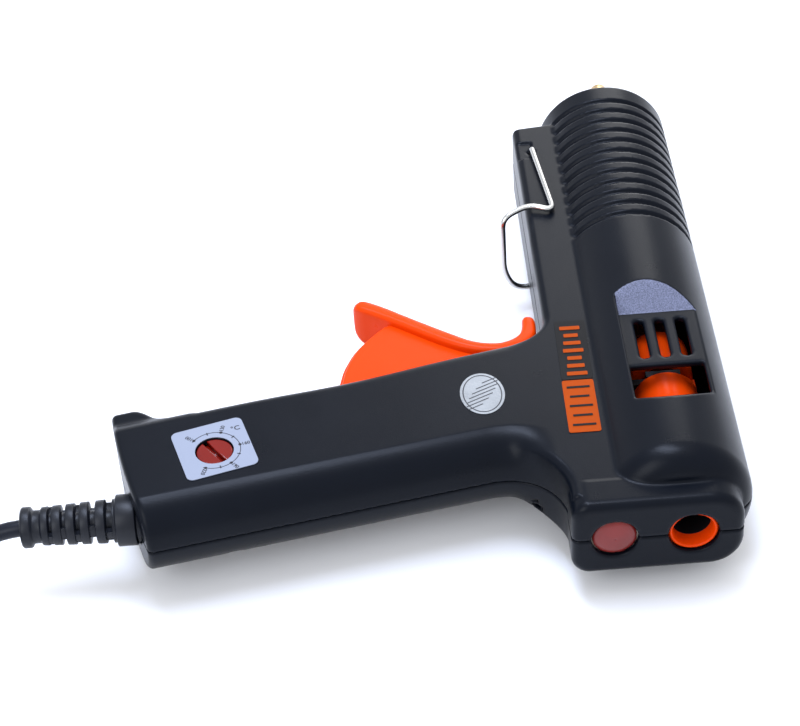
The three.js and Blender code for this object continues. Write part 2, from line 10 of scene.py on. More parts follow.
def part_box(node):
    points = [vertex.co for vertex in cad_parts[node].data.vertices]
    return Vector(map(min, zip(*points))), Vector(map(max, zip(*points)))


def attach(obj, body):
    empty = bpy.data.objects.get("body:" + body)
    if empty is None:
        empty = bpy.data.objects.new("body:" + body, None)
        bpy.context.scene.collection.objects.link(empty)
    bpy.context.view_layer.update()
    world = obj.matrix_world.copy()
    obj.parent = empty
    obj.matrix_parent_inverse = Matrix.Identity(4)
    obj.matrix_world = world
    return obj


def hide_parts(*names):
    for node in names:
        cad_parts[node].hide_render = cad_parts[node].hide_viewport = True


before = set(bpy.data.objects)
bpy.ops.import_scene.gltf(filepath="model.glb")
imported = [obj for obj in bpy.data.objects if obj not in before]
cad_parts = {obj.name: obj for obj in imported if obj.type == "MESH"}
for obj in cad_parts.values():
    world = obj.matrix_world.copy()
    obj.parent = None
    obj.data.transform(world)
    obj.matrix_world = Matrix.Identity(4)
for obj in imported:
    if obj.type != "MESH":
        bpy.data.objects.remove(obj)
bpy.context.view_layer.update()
rear_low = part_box("left_shell")[0]
ORIGIN = Vector((rear_low[0], rear_low[1] + 0.02109, rear_low[2] - 0.00015))
FLOOR = -24.3
FLANK = 14.86
BARREL_Y, BARREL_R = 3.2, 24.3
GROOVE_LAST, GROOVE_STEP = 206.2, 6.33
SLOT_YS = (6.7, -0.2, -7.2)
LAMP_Y = 25
HINGE = (74, 52)
STAND_AT = (191, 32)
CORD_X = 26.2
KNOB_AT = (39.5, 149.7)
SCREWS = [(21, 146), (52.5, 172), (33.2, 86), (31, 44.5), (112, 30.5), (172, 30.5)]


def row(x, y, z):
    return ORIGIN + Vector((x, y, z)) / 1000


def link(name, data):
    obj = bpy.data.objects.new(name, data)
    bpy.context.scene.collection.objects.link(obj)
    return obj


# ---- camera ----
camera = link("camera", bpy.data.cameras.new("camera"))
camera.data.lens = 104.25
camera.data.sensor_width = 36
camera.data.clip_start = 0.01
turn = Matrix(((-0.05699, 0.64858, -0.75901), (-0.99698, -0.07711, 0.00897), (-0.05271, 0.75723, 0.65102)))
camera.matrix_world = Matrix.Translation(row(-512.197, 94.609, 519.166)) @ turn.to_4x4()
bpy.context.scene.camera = camera
bpy.context.scene.view_settings.view_transform = "Standard"


# ---- finishes ----
def finish(name, colour, rough=0.5, metal=0.0, vary=0.12, grain=900, bump=0.05, shine=0.5):
    """Material mottled in tone and gloss, with a fine grain raised from the surface."""
    mat = bpy.data.materials.new(name)
    mat.use_nodes = True
    nodes, links = mat.node_tree.nodes, mat.node_tree.links
    shader = nodes["Principled BSDF"]
    where = nodes.new("ShaderNodeTexCoord")
    fine = nodes.new("ShaderNodeTexNoise")
    fine.inputs["Scale"].default_value = grain
    fine.inputs["Detail"].default_value = 4
    broad = nodes.new("ShaderNodeTexNoise")
    broad.inputs["Scale"].default_value = 45
    broad.inputs["Detail"].default_value = 5
    links.new(where.outputs["Object"], fine.inputs["Vector"])
    links.new(where.outputs["Object"], broad.inputs["Vector"])
    tone = nodes.new("ShaderNodeMix")
    tone.data_type = "RGBA"
    low = [c * (1 - vary) for c in colour]
    high = [min(1, c * (1 + vary)) for c in colour]
    tone.inputs["A"].default_value = (*low, 1)
    tone.inputs["B"].default_value = (*high, 1)
    links.new(broad.outputs["Fac"], tone.inputs["Factor"])
    links.new(tone.outputs["Result"], shader.inputs["Base Color"])
    spread = nodes.new("ShaderNodeMapRange")
    spread.inputs["To Min"].default_value = max(0.02, rough - 0.07)
    spread.inputs["To Max"].default_value = min(1, rough + 0.07)
    links.new(broad.outputs["Fac"], spread.inputs["Value"])
    links.new(spread.outputs["Result"], shader.inputs["Roughness"])
    rise = nodes.new("ShaderNodeBump")
    rise.inputs["Strength"].default_value = bump
    rise.inputs["Distance"].default_value = 0.0003
    links.new(fine.outputs["Fac"], rise.inputs["Height"])
    links.new(rise.outputs["Normal"], shader.inputs["Normal"])
    shader.inputs["Metallic"].default_value = metal
    shader.inputs["Specular IOR Level"].default_value = shine
    return mat


BODY = finish("satin_plastic", (0.0026, 0.004, 0.0075), 0.3, bump=0.12, grain=2600, vary=0.15, shine=0.11)
ORANGE = finish("orange_plastic", (0.72, 0.05, 0.001), 0.3, shine=0.1, bump=0.05, grain=1200, vary=0.06)
RUBBER = finish("rubber", (0.006, 0.0075, 0.012), 0.38, bump=0.12, grain=2200, shine=0.25)
CORD = finish("cord_sheath", (0.005, 0.007, 0.014), 0.36, bump=0.08, grain=1800, shine=0.2)
STEEL = finish("nickel_wire", (0.62, 0.62, 0.6), 0.22, 1.0, bump=0.04, vary=0.08)
BRASS = finish("brass", (0.7, 0.47, 0.2), 0.32, 1.0, vary=0.15)
ALUMINIUM = finish("cast_aluminium", (0.6, 0.61, 0.63), 0.42, 1.0, bump=0.2)
SILICONE = finish("silicone", (0.42, 0.07, 0.03), 0.55)
PHENOLIC = finish("phenolic", (0.07, 0.035, 0.022), 0.6, bump=0.2)
CERAMIC = finish("ceramic", (0.75, 0.7, 0.6), 0.5)
LENS = finish("lamp_red", (0.17, 0.016, 0.014), 0.22, vary=0.6, grain=500, shine=0.35)
KNOB = finish("knob_red", (0.17, 0.005, 0.002), 0.14, vary=0.4, shine=0.35)
WHITE = finish("label_white", (0.255, 0.285, 0.365), 0.4, vary=0.03, shine=0.25)
SILVER = finish("foil", (0.3, 0.32, 0.34), 0.3, 0.3, vary=0.5, bump=0.3)
STRIP = finish("strip_orange", (0.36, 0.05, 0.001), 0.5, vary=0.05, shine=0.06)
# steel whose near-black tone is partly painted shade for the dim inside of the barrel seen through the window
DARK_STEEL = finish("steel_with_painted_shade", (0.02, 0.02, 0.022), 0.6, 0.8)
BOARD = finish("board_green", (0.03, 0.16, 0.06), 0.5)
BLACK = finish("matt_black", (0.004, 0.004, 0.005), 0.5, shine=0.12)
INK = finish("dark_ink", (0.012, 0.013, 0.02), 0.5)


def speckle_ramp_highlight(mat):
    """Grainy paler colour on the sloping face ahead of the slots: the grain follows the face's texture, and the
    paleness is a painted highlight where the face catches the light.
    """
    nodes, links = mat.node_tree.nodes, mat.node_tree.links
    where = nodes.new("ShaderNodeTexCoord")
    grain = nodes.new("ShaderNodeTexNoise")
    grain.inputs["Scale"].default_value = 2700
    grain.inputs["Detail"].default_value = 2
    links.new(where.outputs["Object"], grain.inputs["Vector"])
    # dark-to-pale colours: a painted highlight over the grain of the sloping face
    ramp = nodes.new("ShaderNodeValToRGB")
    ramp.color_ramp.elements[0].position = 0.35
    ramp.color_ramp.elements[0].color = (0.06, 0.068, 0.11, 1)
    ramp.color_ramp.elements[1].position = 0.62
    ramp.color_ramp.elements[1].color = (0.15, 0.165, 0.26, 1)
    links.new(grain.outputs["Fac"], ramp.inputs["Fac"])
    pale = nodes.new("ShaderNodeBsdfPrincipled")
    pale.inputs["Roughness"].default_value = 0.6
    links.new(ramp.outputs["Color"], pale.inputs["Base Color"])
    along = nodes.new("ShaderNodeVectorMath")
    along.operation = "DOT_PRODUCT"
    normal = Vector((6.3, 0, -9.8)).normalized()
    along.inputs[1].default_value = normal
    links.new(where.outputs["Object"], along.inputs[0])
    split = nodes.new("ShaderNodeSeparateXYZ")
    links.new(where.outputs["Object"], split.inputs["Vector"])

    def calc(operation, *values):
        node = nodes.new("ShaderNodeMath")
        node.operation = operation
        for socket, value in zip(node.inputs, values):
            if isinstance(value, float):
                socket.default_value = value
            else:
                links.new(value, socket)
        return node.outputs["Value"]

    near = calc("COMPARE", along.outputs["Value"], normal.dot(row(88.4, 0, 18)), 0.00016)
    high = calc("GREATER_THAN", split.outputs["Z"], row(0, 0, 17.7).z)
    short = calc("LESS_THAN", split.outputs["Y"], row(0, 13.2, 0).y)
    both = calc("MULTIPLY", near, calc("MULTIPLY", high, short))
    mix = nodes.new("ShaderNodeMixShader")
    links.new(both, mix.inputs["Fac"])
    links.new(nodes["Principled BSDF"].outputs["BSDF"], mix.inputs[1])
    links.new(pale.outputs["BSDF"], mix.inputs[2])
    links.new(mix.outputs["Shader"], nodes["Material Output"].inputs["Surface"])


# the ramp's pale speckle is a painted highlight on the dark shell
speckle_ramp_highlight(BODY)
PALE = finish("pale_floor", (0.9, 0.9, 0.91), 0.7, vary=0.01, bump=0.02, grain=60)


# ---- making pieces ----
def settle(obj, mat, body, *nodes):
    """Gives a piece its finish and body, and hides the nodes it stands for."""
    obj.data.materials.append(mat)
    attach(obj, body)
    if nodes:
        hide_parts(*nodes)
    return obj


def mesh_from(name, points, faces):
    points = np.asarray(points, dtype=float) / 1000 + np.array(ORIGIN)
    mesh = bpy.data.meshes.new(name)
    mesh.from_pydata(points.tolist(), [], faces)
    mesh.polygons.foreach_set("use_smooth", [True] * len(mesh.polygons))
    mesh.update()
    return link(name, mesh)


def rounded(points, reach, steps=8):
    """Line through the points with each corner swapped for a bend."""
    points = [Vector(p) for p in points]
    line = [points[0]]
    for before, corner, after in zip(points, points[1:], points[2:]):
        back, on = before - corner, after - corner
        length = min(reach, back.length * 0.48, on.length * 0.48)
        a = corner + back.normalized() * length
        b = corner + on.normalized() * length
        for i in range(steps + 1):
            t = i / steps
            line.append(a * (1 - t) ** 2 + corner * 2 * t * (1 - t) + b * t ** 2)
    return line + [points[-1]]


def flowing(points, steps=6):
    """Closed smooth outline through the points."""
    points = [Vector(p) for p in points]
    count = len(points)
    line = []
    for i in range(count):
        p, a, b, q = (points[(i + k) % count] for k in (-1, 0, 1, 2))
        for j in range(steps):
            t = j / steps
            line.append(0.5 * (2 * a + (b - p) * t + (2 * p - 5 * a + 4 * b - q) * t ** 2
                               + (3 * a - p - 3 * b + q) * t ** 3))
    return line


def wire(name, line, radius, sides=5):
    curve = bpy.data.curves.new(name, "CURVE")
    curve.dimensions = "3D"
    curve.bevel_depth = radius / 1000
    curve.bevel_resolution = sides
    curve.use_fill_caps = True
    spline = curve.splines.new("POLY")
    spline.points.add(len(line) - 1)
    for point, p in zip(spline.points, line):
        point.co = (*row(*p), 1)
    return link(name, curve)


def plate(name, outlines, low, high, edge):
    """Flat piece with rounded edges; outlines after the first are holes."""
    curve = bpy.data.curves.new(name, "CURVE")
    curve.dimensions = "2D"
    curve.fill_mode = "BOTH"
    curve.extrude = ((high - low) / 2 - edge) / 1000
    curve.bevel_depth = edge / 1000
    curve.bevel_resolution = 3
    curve.offset = -edge / 1000
    for outline in outlines:
        spline = curve.splines.new("POLY")
        spline.use_cyclic_u = True
        spline.points.add(len(outline) - 1)
        for point, p in zip(spline.points, outline):
            point.co = (p[0] / 1000, p[1] / 1000, 0, 1)
    obj = link(name, curve)
    obj.location = row(0, 0, (low + high) / 2)
    return obj


def leaning(x, y, u, v, lean):
    """Point u, v from x, y, turned by lean."""
    return (x + u * math.cos(lean) - v * math.sin(lean), y + u * math.sin(lean) + v * math.cos(lean))


def circle(x, y, rx, ry=None, count=48, lean=0.0):
    angles = [2 * math.pi * i / count for i in range(count)]
    return [leaning(x, y, rx * math.cos(a), (ry or rx) * math.sin(a), lean) for a in angles]


def turned(name, profile, centre, axis="X", start=0.0, sweep=360.0, count=72):
    """Closed profile of (along, radius) points turned about X, Y or Z through the centre."""
    whole = sweep >= 360
    rings = count if whole else count + 1
    points = []
    for i in range(rings):
        a = math.radians(start + sweep * i / count)
        for along, r in profile:
            u, v = r * math.cos(a), r * math.sin(a)
            place = {"X": (along, u, v), "Y": (v, along, u), "Z": (u, v, along)}[axis]
            points.append([c + p for c, p in zip(centre, place)])
    n = len(profile)
    faces = []
    for i in range(count):
        for j in range(n):
            a, b = i * n, ((i + 1) % rings) * n
            faces.append((a + j, a + (j + 1) % n, b + (j + 1) % n, b + j))
    if not whole:
        faces.append(tuple(range(n)))
        faces.append(tuple(reversed(range(count * n, count * n + n))))
    obj = mesh_from(name, points, faces)
    weld = obj.modifiers.new("weld", "WELD")
    weld.merge_threshold = 1e-6
    sharp = obj.modifiers.new("edges", "BEVEL")
    sharp.width = 0.00025
    sharp.segments = 2
    sharp.angle_limit = math.radians(40)
    return obj


# ---- cord: out of the strain relief, down to the floor, round the coil, then to the plug ----
CORD_R = 2.75
STEP = 5.6
COIL = (-13.2, 284)
TURNS, PER_TURN = 5.25, 72
LOW = FLOOR + CORD_R + 0.05
PLUG_Y, PLUG_Z = 323.4, FLOOR + 6.9
EXIT = (CORD_X, 177, 0)
line = rounded([EXIT, (CORD_X, 224, 0), (CORD_X, 246, LOW), (CORD_X, COIL[1], LOW)], 13)[:-1]
for i in range(int(TURNS * PER_TURN) + 1):
    t = i / PER_TURN
    radius = np.interp(t, [0, 2, 3, 4, 5, 6], [39.4, 28.2, 22.6, 33.8, 39.4, 39.4])
    rise = min(1, max(0, (t - 2.6) / 0.4))
    angle = 2 * math.pi * t
    line.append(Vector((COIL[0] + radius * math.cos(angle), COIL[1] + radius * math.sin(angle),
                        LOW + STEP * rise ** 2 * (3 - 2 * rise))))
line += rounded([(-15, PLUG_Y, -15.9), (-26, PLUG_Y, -16.3), (-40, PLUG_Y, -18.4), (-54.5, PLUG_Y, -17.4)], 9)
lead = settle(wire("mains_lead", line, CORD_R, 6), CORD, "gun", "power_cord", "cord_coil", "cord_tail")

ribs = [(168.4, 3.1), (168.4, 9.2), (171, 9.2), (171, 7.3), (176, 7.3), (176.2, 8.4), (182.4, 8.4),
        (182.8, 6.9)]
gaps = [(183.6, 186), (189, 191.2), (194, 195.8), (198.6, 200.2), (203, 204.4)]
for low, high in gaps:
    ribs += [(low, 7.2 - 0.04 * (low - 184)), (low + 0.15, 3.9),
             (high - 0.15, 3.9), (high, 7.2 - 0.04 * (high - 184))]
ribs += [(206.6, 6.2), (207, 5.4), (209.4, 5.4), (210.2, 6.7), (212.7, 6.7), (213.3, 6.1), (213.3, 3.1)]
relief = settle(turned("strain_relief_ribs", ribs, (CORD_X, 0, 0), "Y"), RUBBER, "gun", "strain_relief")
for i, (low, high) in enumerate(gaps):
    for start in (0, 180):
        web = [(low - 0.3, 3.8), (low - 0.3, 6.1), (high + 0.3, 6.1), (high + 0.3, 3.8)]
        bar = turned(f"relief_bar_{i}_{start}", web, (CORD_X, 0, 0), "Y", start + 62 + 24 * (i % 2), 38, 8)
        settle(bar, RUBBER, "gun")

plug_side = [(-54, 319), (-60, 317.6), (-65.5, 315.4), (-71.5, 310.9), (-89.5, 310.4), (-89.5, 336.4),
             (-71.5, 336), (-65.5, 331.4), (-60, 329.2), (-54, 327.8)]
plug_line = rounded([(*p, 0) for p in plug_side], 3, 4)
plug = settle(plate("plug", [plug_line], FLOOR + 0.05, FLOOR + 13.7, 1.8), RUBBER, "gun", "plug_body")
for i, side in enumerate((-9.3, 9.3)):
    profile = [(-108.8, 0.05), (-108.5, 1.6), (-107.7, 2), (-89.8, 2), (-89.8, 0.05)]
    pin = turned(f"plug_pin_{'ab'[i]}", profile, (0, PLUG_Y + side, PLUG_Z))
    settle(pin, BRASS, "gun", f"plug_pin_{i + 1}")


# ---- shells, as one smooth form ----
def edge(a, b, r):
    """Overlap of two forms, their shared edge rounded by r."""
    return np.minimum(np.maximum(a, b), -r) + np.hypot(np.maximum(a + r, 0), np.maximum(b + r, 0))


def fillet(a, b, r):
    """Join of two forms, the corner between them filled by r."""
    return -edge(-a, -b, r)


def ease(t):
    """Smooth step from 0 to 1."""
    t = np.clip(t, 0, 1)
    return t * t * (3 - 2 * t)


def outer_form(x, y, z):
    """Distance outside the closed gun body, with the grooves and without."""
    side = np.abs(z) - 14.8
    r = np.hypot(y - BARREL_Y, z)
    behind, beyond = 17.3 - x, r - 15
    shoulder = np.hypot(np.maximum(behind, 0), np.maximum(beyond, 0)) - 9.3
    shoulder = shoulder + np.minimum(np.maximum(behind, beyond), 0)
    nearest = np.clip(np.round((GROOVE_LAST - x) / GROOVE_STEP), 0, 11)
    groove = 1.1 * ease((1.35 - np.abs(GROOVE_LAST - GROOVE_STEP * nearest - x)) / 0.8)
    tube = edge(np.maximum(r - BARREL_R, shoulder), x - 216.2, 1.4)
    grooved = np.maximum(tube, r - BARREL_R + groove)
    depth = (x - 9.6) * 0.98389 + (y - 172.3) * 0.17880
    back = fillet(-depth, y - 37.9, 24.0)
    front_x = 82.9 - 0.2044 * (y - 54) - 1.4 * np.exp(-((y - 104) / 24) ** 2)
    front = fillet((x - front_x) / 1.02, y - 37.9, 8.0)
    u, v = np.maximum(14.2 + back, 0) / 14.2, np.abs(z) / 15.3
    k = np.hypot(u, v)
    hollowed = np.maximum(k * (k - 1) / (np.hypot(u / 14.2, v / 15.3) + 1e-6), side)
    deep = ease((y - 40) / 16)
    back_side = deep * hollowed + (1 - deep) * edge(back, side, 2.6)
    front_round = 2.6 + 2.9 * ease((y - 40) / 12)
    lip_x = front_x + 9.6 * ease((y - 164) / 14)
    lip = edge(edge((x - lip_x) / 1.05, np.abs(z) - 11.6, 3.0), 158 - y, 1.0)
    web = np.maximum(back_side, fillet(edge(front, side, front_round), lip, 4.0))
    web = edge(web, (y - 176.2 - 0.21 * (x - 20) + 0.002 * (x - 42) ** 2) / 1.02, 1.8)
    web = edge(web, x - 206.9 + 0.1 * (y - 31), 1.3)
    web = np.maximum(np.maximum(web, 3 - y), 6 - x)
    block = edge(edge(side - 0.2, -16.2 - y, 11.0), y - 38.6, 6.0)
    block = np.maximum(edge(block, -x, 3.0), x - 12)
    web = np.minimum(web, block)
    return fillet(grooved, web, 0.8), fillet(tube, web, 0.8)


def shell_form(x, y, z):
    """Both half shells in one: skin, hollow, posts and openings."""
    skin, plain = outer_form(x, y, z)
    up = np.abs(z)
    cavity = np.maximum(plain + 2.4, np.minimum(np.minimum(up - 15.8, x - 40), 101 - x))
    form = np.maximum(skin, -cavity)
    for sx, sy in SCREWS:
        form = np.minimum(form, np.maximum(np.maximum(np.hypot(x - sx, y - sy) - 4, up - 13.8), skin + 0.8))
    for (px, py), r, foot in ((HINGE, 5, 6), (STAND_AT, 3.4, 9)):
        form = np.minimum(form, np.maximum(np.maximum(np.hypot(x - px, y - py) - r, foot - up), up - 13.8))
    ramp = ((x - 88.4) * 6.3 - (up - 18) * 9.8) / 11.65
    slope = ((45.5 - x) * 0.88 - (up - 18)) / 1.332
    pocket = edge(np.maximum(np.maximum(18 - up, ramp), slope), y - 13.3, 0.5)
    across, along = np.abs(x - 53.4) - 7.9, np.abs(y - 0.35) - 12.35
    window = np.maximum(edge(across, along, 1.0), 13 - up)
    holes = np.minimum(pocket, window)
    for sy in SLOT_YS:
        slot = np.hypot(np.maximum(np.abs(x - 74.9) - 8.2, 0), y - sy) - 1.7
        holes = np.minimum(holes, np.maximum(slot, 13 - up))
    holes = np.minimum(holes, np.maximum(np.hypot(y, z) - 8.05, x - 5))
    holes = np.minimum(holes, np.maximum(np.hypot(y - LAMP_Y, z) - 7.5, x - 5))
    holes = np.minimum(holes, np.maximum(np.hypot(y, z) - 17, 212 - x))
    holes = np.minimum(holes, np.maximum(np.hypot(x - CORD_X, z) - 7.6, 160 - y))
    holes = np.minimum(holes, np.maximum(np.hypot(x - KNOB_AT[0], y - KNOB_AT[1]) - 6.25, 10 - z))
    holes = np.minimum(holes, np.hypot(x - STAND_AT[0], y - STAND_AT[1]) - 1.35)
    notch = np.maximum(edge(np.abs(x - 191.7) - 5.1, np.abs(y - 34.6) - 3.0, 1.0), 14.0 - up)
    holes = np.minimum(holes, notch)
    mouth = np.interp(y, [41, 60, 111.6], [78, 72, 50])
    swing = np.maximum(np.maximum(up - 5.9, y - 111.6), np.maximum(41 - y, np.maximum(mouth - x, x - 100)))
    holes = np.minimum(holes, swing)
    holes = np.minimum(holes, np.maximum(np.hypot(x - HINGE[0], y - HINGE[1]) - 2.3, up - 12.4))
    for sx, sy in SCREWS:
        r = np.hypot(x - sx, y - sy)
        head_end = -12.0 if sy < 45 and sx < 40 else -30.0
        holes = np.minimum(holes, np.maximum(np.maximum(r - 3.3, z + 7), head_end - z))
        holes = np.minimum(holes, np.maximum(np.maximum(r - 1.7, z - 10), head_end - z))
    return edge(form, -holes, 0.3)


def skinned(name, form, low, high, step):
    """Closed mesh of quads on the form's surface."""
    low, high = np.array(low, dtype=float), np.array(high, dtype=float)
    counts = np.ceil((high - low) / step).astype(int) + 1
    xs, ys, zs = (low[k] + step * np.arange(counts[k]) for k in range(3))
    field = np.empty(counts, dtype=np.float32)
    for i in range(0, counts[0], 16):
        x, y, z = np.meshgrid(xs[i:i + 16], ys, zs, indexing="ij")
        field[i:i + 16] = form(x, y, z)
    inside = field < 0
    filled = sum(inside[i:counts[0] - 1 + i, j:counts[1] - 1 + j, k:counts[2] - 1 + k].astype(np.int8)
                 for i in (0, 1) for j in (0, 1) for k in (0, 1))
    crossed = (filled > 0) & (filled < 8)
    cells = np.argwhere(crossed)
    numbers = np.full(crossed.shape, -1, dtype=np.int64)
    numbers[crossed] = np.arange(len(cells))
    total, found = np.zeros((len(cells), 3)), np.zeros(len(cells))
    for axis in range(3):
        for p in (0, 1):
            for q in (0, 1):
                a = np.insert([p, q], axis, 0)
                b = np.insert([p, q], axis, 1)
                fa, fb = field[tuple((cells + a).T)], field[tuple((cells + b).T)]
                hit = (fa < 0) != (fb < 0)
                t = np.where(hit, fa / np.where(hit, fa - fb, 1), 0)
                total += hit[:, None] * (a + t[:, None] * (b - a))
                found += hit
    points = low + step * (cells + total / found[:, None])
    for _ in range(3):
        value = form(*points.T)
        slope = np.empty_like(points)
        for axis in range(3):
            ahead, back = points.copy(), points.copy()
            ahead[:, axis] += 0.02
            back[:, axis] -= 0.02
            slope[:, axis] = (form(*ahead.T) - form(*back.T)) / 0.04
        move = value[:, None] * slope / np.maximum((slope ** 2).sum(1), 0.2)[:, None]
        points -= np.clip(move, -0.4 * step, 0.4 * step)
    quads = []
    for axis in range(3):
        j, k = (axis + 1) % 3, (axis + 2) % 3
        first = [slice(1, -1)] * 3
        first[axis] = slice(0, -1)
        second = list(first)
        second[axis] = slice(1, None)
        one, two = inside[tuple(first)], inside[tuple(second)]
        for pick, order in ((one & ~two, (0, 1, 2, 3)), (~one & two, (3, 2, 1, 0))):
            at = np.argwhere(pick)
            for c in (j, k):
                at[:, c] += 1
            corners = []
            for dj, dk in ((-1, -1), (0, -1), (0, 0), (-1, 0)):
                cell = at.copy()
                cell[:, j] += dj
                cell[:, k] += dk
                corners.append(numbers[tuple(cell.T)])
            quads.append(np.stack([corners[i] for i in order], axis=1))
    quads = np.concatenate(quads)
    mesh = bpy.data.meshes.new(name)
    mesh.vertices.add(len(points))
    mesh.vertices.foreach_set("co", (points / 1000 + np.array(ORIGIN)).ravel())
    mesh.loops.add(4 * len(quads))
    mesh.loops.foreach_set("vertex_index", quads.ravel())
    mesh.polygons.add(len(quads))
    mesh.polygons.foreach_set("loop_start", np.arange(0, 4 * len(quads), 4))
    mesh.polygons.foreach_set("use_smooth", np.ones(len(quads), dtype=bool))
    mesh.update(calc_edges=True)
    return link(name, mesh)


SHELL_GRID = 0.68
for side, name in ((1, "left"), (-1, "right")):
    def half(x, y, z, side=side):
        return edge(shell_form(x, y, z), 0.13 - side * z, 0.35)
    low_z, high_z = (-0.9, 25.4) if side > 0 else (-25.4, 0.9)
    shell = skinned(f"{name}_case", half, (-1.5, -22.5, low_z), (218, 188, high_z), SHELL_GRID)
    settle(shell, BODY, "gun", f"{name}_shell")

# ---- trigger ----
def flat_rounded(points, reach, steps=4):
    return rounded([(*p, 0) for p in points], reach, steps)


pad_line = flowing([(119.4, 99.6), (115.6, 92.6), (107.4, 82), (97.6, 69), (92.7, 61.5), (90.9, 54.3),
                    (92.0, 49.4), (94.9, 45.9), (99, 44.7), (102.6, 44.2), (103.6, 42.4), (102.3, 40.2),
                    (98, 39.9), (93.4, 40.6), (89.4, 44), (87, 50), (86.8, 56.4), (89.2, 64.4), (94.6, 73.4),
                    (104.8, 86.8), (111.2, 95.8), (114, 100.2), (117.2, 102.4)])
pad_line = [tuple(p) for p in pad_line[::2]]
web_line = flat_rounded([(88.6, 60), (95, 72), (106.5, 87), (108, 91), (104.5, 95.5), (99.8, 100),
                         (95.4, 103.2), (86.8, 107), (76.9, 109.2), (66, 109.5), (62.6, 104), (67, 84),
                         (67, 60), (69.5, 55), (62.4, 19), (62.8, 15.4), (66.4, 15.4), (66.8, 19),
                         (79.5, 50), (88, 50)], 3)
pin_hole = circle(*HINGE, 2.1, count=32)


def inside_line(x, y, line):
    """Signed distance to a closed outline in plan."""
    near = np.full(x.shape, 1e9)
    sign = np.ones(x.shape)
    for a, b in zip(line, line[1:] + line[:1]):
        ex, ey = b[0] - a[0], b[1] - a[1]
        wx, wy = x - a[0], y - a[1]
        t = np.clip((wx * ex + wy * ey) / (ex * ex + ey * ey), 0, 1)
        near = np.minimum(near, np.hypot(wx - t * ex, wy - t * ey))
        above, under = y >= a[1], y < b[1]
        left = ex * wy > ey * wx
        sign = np.where((above & under & left) | (~above & ~under & ~left), -sign, sign)
    return near * sign


def pad_form(x, y, z):
    """Finger pad, its free end rounder on the right side."""
    end = (x - 119.4) * 0.58 + (y - 99.6) * 0.81 - 2.6
    flat = edge(np.abs(z) - 8.4, end, np.where(z < 0, 8.4, 5.0))
    return edge(inside_line(x, y, pad_line), flat, 1.7)


PAD_GRID = 0.6
settle(skinned("trigger_pad", pad_form, (84, 37, -10), (122, 106, 10), PAD_GRID), ORANGE, "trigger", "trigger")
settle(plate("trigger_web", [web_line, pin_hole], -3.8, 3.8, 0.5), ORANGE, "trigger")
cheek = flat_rounded([(88.6, 60), (95, 72), (106.5, 87), (107.6, 91), (103.8, 94.8), (99.0, 99.2),
                      (94.8, 102.2), (86.4, 105.9), (76.9, 108.0), (67, 108.2), (64, 104), (68, 84),
                      (70, 62), (84, 56)], 3)
for i, (low, high) in enumerate(((3.6, 5.5), (-5.5, -3.6))):
    settle(plate(f"trigger_cheek_{'ab'[i]}", [cheek], low, high, 0.7), ORANGE, "trigger")
hub = [(-5.5, 2.1), (-5.5, 6.2), (5.5, 6.2), (5.5, 2.1)]
settle(turned("trigger_hub", hub, (*HINGE, 0), "Z"), ORANGE, "trigger")

# ---- feed seen through the window and the opening ----
AXIS = (0, 0, 0)
guide = [(1.3, 7.0), (1.6, 7.75), (2.9, 7.8), (2.9, 10.6), (4.8, 10.6), (4.8, 7.75), (31, 7.7), (31, 6.3),
         (4.5, 6.3), (2.0, 6.6)]
settle(turned("guide_tube", guide, AXIS), ORANGE, "gun", "stick_guide")
# black sheet inside the guide from 6.2 mm in: painted shade for the dark depth of the stick opening
settle(turned("guide_bore_painted_shade", [(6.2, 6.05), (6.2, 6.25), (31, 6.25), (31, 6.05)], AXIS), BLACK, "gun")
carriage_rear = [(34, 6.6), (34, 10.6), (34.3, 10.8), (65.2, 10.8), (66, 10.2), (66, 6.6)]
carriage_front = [(72.6, 6.6), (72.6, 10.2), (73.3, 10.8), (86.4, 10.8), (87, 10.2), (87, 6.6)]
bridge = [(65.3, 8.9), (65.3, 10.8), (72.7, 10.8), (72.7, 8.9)]
lug = flat_rounded([(41.6, -17.2), (44, -17.2), (44, -10.4), (41.6, -10.4)], 0.5, 8)
settle(turned("carriage_rear", carriage_rear, AXIS), ORANGE, "carriage", "feed_carriage")
settle(turned("carriage_front", carriage_front, AXIS), ORANGE, "carriage")
settle(turned("carriage_bar_a", bridge, AXIS, start=180, sweep=27, count=12), ORANGE, "carriage")
settle(turned("carriage_bar_b", bridge, AXIS, start=-54, sweep=23, count=12), ORANGE, "carriage")
settle(plate("carriage_lug", [lug], -2, 2, 0.3), ORANGE, "carriage")

# ---- nozzle tip ----
nozzle = [(196.4, 1.6), (196.4, 4.4), (204.4, 4.4), (204.4, 8.6), (217.6, 8.6), (217.6, 7.8), (225.6, 7.8),
          (226.4, 6.6), (228, 6.6), (245.5, 3.3), (248.7, 3.1), (249.5, 2.4), (249.5, 1.2), (230, 1.2),
          (228, 3.1), (200.8, 3.1), (199.4, 1.6)]
settle(turned("nozzle_brass", nozzle, AXIS), BRASS, "gun", "nozzle")

# ---- lamp ----
dome = [(-0.05, 0.05), (0.0, 1.5), (0.15, 3), (0.4, 4.8), (0.8, 6.2), (1.5, 7.1), (2.5, 7.1), (2.5, 0.05)]
settle(turned("lamp_dome", dome, (0, LAMP_Y, 0)), LENS, "gun", "lamp_lens")

# ---- stand ----
SIDE = 16.25
stand_line = rounded([(*STAND_AT, 11), (*STAND_AT, SIDE + 0.2), (151, 27.8, SIDE + 0.2),
                      (155, 36.5, SIDE + 0.8), (150, 46.6, SIDE - 0.6), (148.8, 46.6, -8), (149.2, 42.6, -SIDE),
                      (151, 27.8, -SIDE - 0.2), (*STAND_AT, -SIDE - 0.2), (*STAND_AT, -11)], 4.5, 10)
settle(wire("stand_loop", stand_line, 1.05, 4), STEEL, "stand", "stand_wire")

